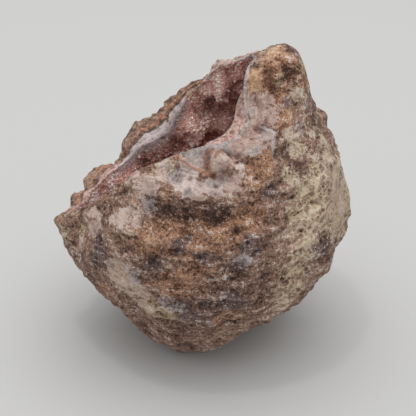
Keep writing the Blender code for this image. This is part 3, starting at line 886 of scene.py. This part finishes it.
class Wire:
    """A socket in a material, which can be added to and multiplied like a number."""

    def __init__(self, tree, socket=None):
        self.tree = tree
        self.socket = socket

    def node(self, kind, settings=(), sockets=(), output=0):
        """Adds a node: its settings first, then a value or a wire for each of its sockets."""
        made = self.tree.nodes.new("ShaderNode" + kind)
        for name, value in dict(settings).items():
            setattr(made, name, value)
        for name, value in dict(sockets).items():
            if isinstance(value, Wire):
                self.tree.links.new(value.socket, made.inputs[name])
            else:
                made.inputs[name].default_value = value
        return Wire(self.tree, made.outputs[output])

    def maths(self, operation, a, b=0.0):
        return self.node("Math", {"operation": operation}, {0: a, 1: b})

    def __add__(self, other):
        return self.maths("ADD", self, other)

    def __sub__(self, other):
        return self.maths("SUBTRACT", self, other)

    def __rsub__(self, other):
        return self.maths("SUBTRACT", other, self)

    def __mul__(self, other):
        return self.maths("MULTIPLY", self, other)

    def rise(self, low, high):
        """0 below low and 1 above high, with a smooth step between; low above high turns it round."""
        settings = {"interpolation_type": "SMOOTHSTEP"}
        if low > high:
            return self.node("MapRange", settings, {0: self, 1: high, 2: low, 3: 1.0, 4: 0.0})
        return self.node("MapRange", settings, {0: self, 1: low, 2: high})

    def mix(self, below, above):
        """The colour below where this is 0 and the colour above where it is 1."""
        below, above = (colour if isinstance(colour, Wire) else tone(*colour) for colour in (below, above))
        return self.node("Mix", {"data_type": "RGBA"}, {0: self, 6: below, 7: above}, output=2)

    def tones(self, colours):
        """Goes through the colours one after the other as this goes from 0 to 1."""
        colour = colours[0]
        for n, following in enumerate(colours[1:]):
            colour = self.rise(n / (len(colours) - 1), (n + 1) / (len(colours) - 1)).mix(colour, following)
        return colour

    def ground(self, name):
        return self.node("Attribute", {"attribute_name": name}, output=2)

    def place(self, stretch=(1, 1, 1)):
        point = self.node("TexCoord", output=3)
        return self.node("VectorMath", {"operation": "MULTIPLY"}, {0: point, 1: stretch})

    def grains(self, size, detail=2.0, rough=0.5, warp=0.0, stretch=(1, 1, 1)):
        """Noise about zero, with grains of that size in millimetres."""
        values = {"Scale": 1 / (size * MM), "Detail": detail, "Roughness": rough, "Distortion": warp}
        return self.node("TexNoise", sockets={"Vector": self.place(stretch), **values}) - 0.5

    def spots(self, size):
        """How far each point is from the nearest of scattered spots."""
        return self.node("TexVoronoi", sockets={"Vector": self.place(), "Scale": 1 / (size * MM)})

# %% New materials
def new_material(name, **constants):
    """A material with a Principled shader, its fixed values set on its sockets, and a wire to start from."""
    material = bpy.data.materials.new(name)
    material.use_nodes = True
    shader = material.node_tree.nodes["Principled BSDF"]
    for socket, value in constants.items():
        shader.inputs[socket.replace("_", " ")].default_value = value
    return material, Wire(material.node_tree), shader


def feed(shader, **sockets):
    for name, wire in sockets.items():
        wire.tree.links.new(wire.socket, shader.inputs[name.replace("_", " ")])

# %% [markdown]
# The rock's material is one sum and a set of palettes. The sum says how light each grain is: fine, middle and folded
# noise; the height of the crumb it is on, which paints light onto the tops and shade into the low creases; how deep
# its pit is, which paints shade into the pits; and the tone and painted light of its place. Each palette runs from
# its darkest tone, in the creases, to its lightest, on the tops, in one colour of rock. Where two kinds of ground
# meet, single grains of one lie among the other, so the borders are grainy, never a painted line. The palettes are
# laid over each other in the order of the list.

# %% Palettes
CRUST = ((54, 40, 35), (96, 73, 63), (136, 106, 92), (168, 138, 119), (200, 174, 152))
PALETTES = {
    "tan": ((88, 62, 44), (132, 98, 72), (168, 130, 98), (188, 152, 120), (204, 176, 146)),
    "rust": ((62, 42, 34), (112, 78, 60), (156, 116, 92), (188, 150, 122), (218, 190, 162)),
    "olive": ((58, 47, 38), (104, 86, 68), (152, 131, 104), (184, 165, 137), (212, 197, 172)),
    "plum": ((46, 36, 36), (78, 63, 61), (112, 93, 89), (150, 130, 123), (190, 170, 158)),
    "cream": ((90, 72, 60), (138, 116, 98), (172, 152, 130), (196, 179, 156), (214, 199, 178)),
    "callus": ((98, 80, 70), (146, 124, 110), (176, 154, 138), (196, 176, 160), (214, 198, 184)),
    "rose": ((106, 80, 72), (152, 124, 114), (184, 158, 148), (206, 184, 174), (226, 210, 202)),
    "pale": ((122, 102, 96), (168, 148, 140), (194, 177, 170), (212, 198, 192), (226, 216, 210)),
    "grey": ((76, 65, 63), (122, 108, 105), (156, 143, 139), (184, 172, 168), (210, 200, 196)),
}
LACE_TONES = ((96, 76, 60), (150, 126, 102), (182, 160, 132), (204, 184, 156), (220, 204, 178))
FAR_ROCK = ((76, 58, 50), (126, 100, 87), (164, 135, 117), (194, 167, 147))
print(len(PALETTES), "palettes over the brown crust")

# %% The grains of the rock
MIDDLE_LIGHTNESS = 0.52
# How strongly each place's tone, painted shade and painted light show.
TONE_AND_LIGHT_STRENGTH = 0.5

rock, wire, rock_shader = new_material("nodule_rock", Specular_IOR_Level=0.3)
fine = wire.grains(0.42, detail=2, rough=0.6)
middle = wire.grains(1.0, detail=2, rough=0.6)
broad = wire.grains(6, detail=3, rough=0.6)
folded = wire.grains(2.6, detail=3, rough=0.6, warp=0.3, stretch=(0.5, 0.5, 1.2))
flow = wire.grains(1.5, detail=3, rough=0.6, warp=0.5, stretch=(1.0, 1.0, 0.22))
dark_dots = wire.spots(1.25).rise(0.36, 0.16) * folded.rise(0.06, -0.08)
light_dots = wire.spots(0.8).rise(0.3, 0.12) * folded.rise(-0.06, 0.08)
height, hollows, tone_and_painted_light = wire.ground("crumb"), wire.ground("pits"), wire.ground("tone_and_painted_light")
fresh, chalcedony_ground = wire.ground("fresh"), wire.ground("chalcedony")
smooth_ground, callus_ground, pale_ground = wire.ground("smooth_cream"), wire.ground("callus"), wire.ground("pale")


def cover(name, scattered, low, high, most):
    """Where that ground shows, with single grains of it scattered over its border."""
    return (wire.ground(name) + scattered).rise(low, high) * most


# The crumb's height lightens tops and darkens low creases, and the pit depth darkens pits: painted light and shade.
grain_light = fine * 1.15 + middle * 1.12 + folded * 1.15 + height * 0.14 - dark_dots * 0.3 + light_dots * 0.15
flat = (wire.ground("rose") + pale_ground + callus_ground * 0.6 + smooth_ground).rise(0, 1) * 0.6
lightness = grain_light * (1.0 - flat) + flow * fresh * 1.1 + tone_and_painted_light * TONE_AND_LIGHT_STRENGTH - hollows * 0.22
lightness = lightness + MIDDLE_LIGHTNESS
scatter = (middle + fine * 0.7 + folded) * (2.2 - fresh * 1.0)
colour = lightness.tones(CRUST)
for name, palette in PALETTES.items():
    colour = cover(name, scatter, 0.3, 0.8, 0.92).mix(colour, lightness.tones(palette))
print("grains:", len(rock.node_tree.nodes), "nodes so far")

# %% [markdown]
# The coat's lace is what is left of it between round holes of two sizes, which show the brown crust.
# The broken face adds its own layers: crumbly rock, bluish-white chalcedony, pink druse, a broken orange line and a
# dark groove.

# %% The lace
holes = wire.maths("MAXIMUM", wire.spots(2.3).rise(0.5, 0.3), wire.spots(1.3).rise(0.42, 0.26) * 0.8)
holes = (holes + (middle + fine) * 1.4 + broad * 1.6).rise(0.3, 0.75) * wire.ground("lace")
lace_cover = cover("lace", middle * 1.6, 0.3, 0.8, 0.75) * (1.0 - holes)
colour = lace_cover.mix(colour, (lightness + 0.1).tones(LACE_TONES))
colour = (holes * 0.85).mix(colour, (lightness - 0.05).tones(CRUST))

# %% The layers
ROCK_BUMP = 0.0009


def speckled(low, high):
    return middle.rise(-0.1, 0.1).mix(low, high)


colour = wire.ground("far").mix(colour, lightness.tones(FAR_ROCK))
band_colour = (broad + flow * 0.5).rise(-0.14, 0.14).mix((144, 134, 134), (192, 180, 179))
band_colour = ((broad + middle * 0.5).rise(0.08, 0.2) * 0.5).mix(band_colour, (208, 198, 198))
rim_colour = (broad + fine).rise(-0.2, 0.2).mix((148, 140, 138), (198, 188, 185))
for layer, layer_colour in (
    (cover("chalcedony", (middle + fine + folded) * 1.6, 0.3, 0.9, 0.9), band_colour),
    (wire.ground("druse") * 0.9, speckled((164, 124, 114), (208, 178, 168))),
    (cover("valley", (middle + fine) * 1.1, 0.25, 0.85, 0.8), speckled((108, 72, 58), (156, 112, 90))),
    (cover("iron", (middle + fine) * 0.9, 0.35, 0.85, 0.85), speckled((158, 106, 84), (194, 146, 122))),
    (wire.ground("groove") * 0.7, (100, 90, 88)),
    (cover("rim", (middle + fine + folded) * 0.7, 0.3, 0.75, 0.85), rim_colour),
    (hollows.rise(0.3, 1.2) * fresh * 0.6, (92, 52, 44)),
):
    colour = layer.mix(colour, layer_colour)

calm = chalcedony_ground * 0.7 + smooth_ground * 0.4 + pale_ground * 0.4 + callus_ground * 0.3
bump_height = fine * 0.5 + middle * 0.8 + folded * 0.7 - dark_dots * 0.12 - holes * 0.25
bump_height = bump_height * (1.0 - calm.rise(0, 1.1) * 0.8)
bump = wire.node("Bump", sockets={"Strength": 1.0, "Distance": ROCK_BUMP, "Height": bump_height})
feed(rock_shader, Base_Color=colour, Roughness=0.93 - chalcedony_ground * 0.35, Normal=bump)
nodule.data.materials.append(rock)
print("rock:", len(rock.node_tree.nodes), "nodes")

# %% [markdown]
# The crystals are clear quartz stained rose-brown. Light goes into them, so the shader transmits a part of it, with
# quartz's refractive index, and the opaque bed under them gives it back tinted. Each crystal has numbers of its
# own: its tone and painted light, lighter on the tops of the heads and in a few listed places, darker in the
# creases;
# how milky it is; how dark its place in the hollow is, partly the druse's own darker colour and partly painted shade
# in the recesses; and whether it is one of the greyish ones where the crust starts beside the band. One in 25 is
# painted near-white wherever it stands, as a painted glint.

# %% Places in the hollow
# Darker places in the hollow: partly the druse's own darker colour on the left wall, partly painted shade in the
# recesses under the big heads.
DARK_DRUSE_AND_SHADE_PLACES = (
    (114, 25, 5, 1.1), (122, 20, 6, 1.2), (131, 14, 6, 1.0), (140, 9, 6, 0.5), (85, 47, 3.5, 0.8),
    (75, 47.5, 4, 0.5), (65, 48, 4, 0.8), (58, 50, 3.5, 0.7), (68, 38, 2.5, 0.5), (104, 30, 3, 0.4),
    (87, 27, 3, 0.4), (92, 60, 7, 0.15), (66, 58, 8, 0.25), (92, 50, 3.5, 0.4), (90, 46, 3.5, 0.5), (61, 63, 4, 0.7),
    (94, 44, 4, 0.25), (120, 28, 5, 0.6), (132, 21, 5, 0.6), (150, 10, 6, 0.35),
)
FROST = (
    (77, 63, 2.6, 0.9), (76, 58, 2.6, 0.9), (71, 54, 2.2, 0.7), (77, 39.5, 2, 1.0), (98, 24, 2.4, 0.8),
    (97, 44, 2, 0.6), (100, 23, 3, 0.8), (156, 4, 7, 0.8), (166, 1, 8, 1.0), (176, -2, 8, 1.0),
)
# Painted light: places on the big heads where the crystals are painted lighter.
PAINTED_LIGHT_PLACES = (
    (100, 36, 7, 0.35), (86, 33, 4, 0.45), (81, 37, 5, 0.45), (88, 34, 8, 0.55), (77, 34, 5, 0.5), (99, 24, 4, 0.8),
    (92, 55, 5, 0.3), (108, 42, 4, 0.1), (84, 62, 5, 0.15), (160, 3, 10, 0.3),
)
# Share of crystals painted near-white as a painted glint, wherever they stand.
PAINTED_GLINT_SHARE = 0.04
PALE_REACH = (0.016, 0.014)
PALE_SIDE = (112, 0.88, 0.08)

pale_reach = PALE_REACH[0] + PALE_REACH[1] * side(bed_bearing, *PALE_SIDE)
for piece, chosen in groups:
    way = unit(spots[chosen])
    # Each crystal's own random tone, with painted light on the tops of the heads and painted shade in the creases.
    tone_and_crest_light = 0.5 * draw.random(len(chosen)) + 0.8 * crest[chosen] - 0.15
    milk_and_painted_glint = 0.3 + 0.8 * clouds(spots[chosen], 4.0, (9, 9, 1)) + 0.7 * swelling(way, FROST)
    per_crystal = {
        "tone_and_painted_light": tone_and_crest_light + swelling(way, PAINTED_LIGHT_PLACES),
        # Milkiness, with one crystal in 25 pushed to near-white as a painted glint.
        "milk_and_painted_glint": milk_and_painted_glint + (draw.random(len(chosen)) < PAINTED_GLINT_SHARE),
        "deep": np.clip(swelling(way, DARK_DRUSE_AND_SHADE_PLACES), 0, 1),
        "start": (1 - blend(from_start[chosen] / pale_reach[j[chosen]])) * band[j[chosen]],
    }
    for name, values in per_crystal.items():
        give(piece, name, np.repeat(values, len(crystal_points)))

bed_pale = (1 - blend((down - bed_start) / pale_reach)) * band
bed_pale = np.concatenate([np.tile(band, (BED_BACK_RINGS + 1, 1)), bed_pale[1:]])
give(bed, "start", bed_pale[bed_rows, bed_steps])
give(bed, "deep", np.clip(swelling(unit(bed_grid[bed_rows, bed_steps]), DARK_DRUSE_AND_SHADE_PLACES), 0, 1))

# %% Crystal and bed materials
QUARTZ_IOR = 1.544
CLEAR_SHARE = 0.3
BED_BUMP = 0.0005

quartz, wire, quartz_shader = new_material("rose_quartz", IOR=QUARTZ_IOR, Transmission_Weight=CLEAR_SHARE)
# Crystal colour from tone and painted light: lighter on tops and listed places, darker in creases.
quartz_colour = wire.ground("tone_and_painted_light").tones(((146, 92, 80), (216, 160, 146), (250, 220, 209)))
# Darker in those places: the druse's own darker colour, and painted shade in the recesses.
quartz_colour = (wire.ground("deep") * 0.8).mix(quartz_colour, (128, 78, 68))
# Near-white where the crystals are milky, and on the painted glints.
quartz_colour = (wire.ground("milk_and_painted_glint").rise(0.6, 1.2) * 0.85).mix(quartz_colour, (250, 236, 230))
quartz_colour = (wire.ground("start") * 0.8).mix(quartz_colour, (206, 190, 186))
feed(quartz_shader, Base_Color=quartz_colour, Roughness=wire.grains(0.8) * 0.2 + 0.13)
for piece, chosen in groups:
    piece.data.materials.append(quartz)

bed_material, wire, bed_shader = new_material("crystal_bed", Specular_IOR_Level=0.5)
bed_grain = wire.grains(1.0, detail=3, rough=0.6)
bed_colour = bed_grain.rise(-0.15, 0.15).mix((184, 132, 121), (228, 184, 173))
# Darker in the same places: the druse's own darker colour, and painted shade in the recesses.
bed_colour = (wire.ground("deep") * 0.9).mix(bed_colour, (124, 76, 66))
bed_colour = (wire.ground("start") * 0.8).mix(bed_colour, (190, 176, 173))
bed_bump = wire.node("Bump", sockets={"Strength": 0.8, "Distance": BED_BUMP, "Height": bed_grain})
feed(bed_shader, Base_Color=bed_colour, Roughness=bed_grain * 0.4 + 0.5, Normal=bed_bump)
bed.data.materials.append(bed_material)
print("quartz:", len(quartz.node_tree.nodes), "nodes; bed:", len(bed_material.node_tree.nodes), "nodes")

# %% [markdown]
# The studio is a plain pale floor in a white tent: light comes evenly from all round, and a little more from one
# large soft box almost straight overhead, so the shadow is soft and lies round the stone's foot. A small lamp in
# front of it makes the crystals glint.

# %% Floor, light and world
FLOOR_HALF = 2.0
TENT_LIGHT = 0.84

floor_bm = bmesh.new()
bmesh.ops.create_grid(floor_bm, x_segments=1, y_segments=1, size=FLOOR_HALF)
floor_mesh = bpy.data.meshes.new("floor")
floor_bm.to_mesh(floor_mesh)
floor_bm.free()
floor = add("floor", floor_mesh)
paper = new_material("pale_paper", Base_Color=tone(190, 190, 189), Roughness=0.9, Specular_IOR_Level=0.1)[0]
floor.data.materials.append(paper)
floor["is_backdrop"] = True

world = bpy.data.worlds.new("studio")
world.use_nodes = True
world.node_tree.nodes["Background"].inputs["Color"].default_value = (1.0, 1.0, 1.0, 1.0)
world.node_tree.nodes["Background"].inputs["Strength"].default_value = TENT_LIGHT
bpy.context.scene.world = world
bpy.context.scene.view_settings.view_transform = "Standard"

for name, watts, stand, size in (
    ("softbox", 4.6, (0.06, 0.05, 0.95), (1.2, 1.0)),
    ("lamp", 0.5, (-0.12, -0.1, 0.8), (0.06, 0.06)),
):
    light = bpy.data.lights.new(name, "AREA")
    light.shape = "RECTANGLE"
    light.size, light.size_y = size
    light.energy = watts
    lit = add(name, light)
    lit.location = stand
    lit.rotation_euler = (AIM - lit.location).to_track_quat("-Z", "Y").to_euler()
    print(name, watts, "W")

# %% [markdown]
# Each piece is hung under the root body and the solid it stands for is hidden, and the script writes down how big
# the result is beside the solid model.

# %% Join the pieces to the solid model
for piece, node, slot in (
    (nodule, "geode_shell", "rock"),
    (bed, "crystal_crust", "rose_crystal"),
    *((piece, "crystal_crust", "rose_crystal") for piece, chosen in groups),
):
    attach(piece, "root")
    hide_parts(node)

boxes = [[list(corner) for corner in box] for box in (solid_box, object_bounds())]
print("pictured box:", [[round(c / MM, 1) for c in corner] for corner in boxes[1]])
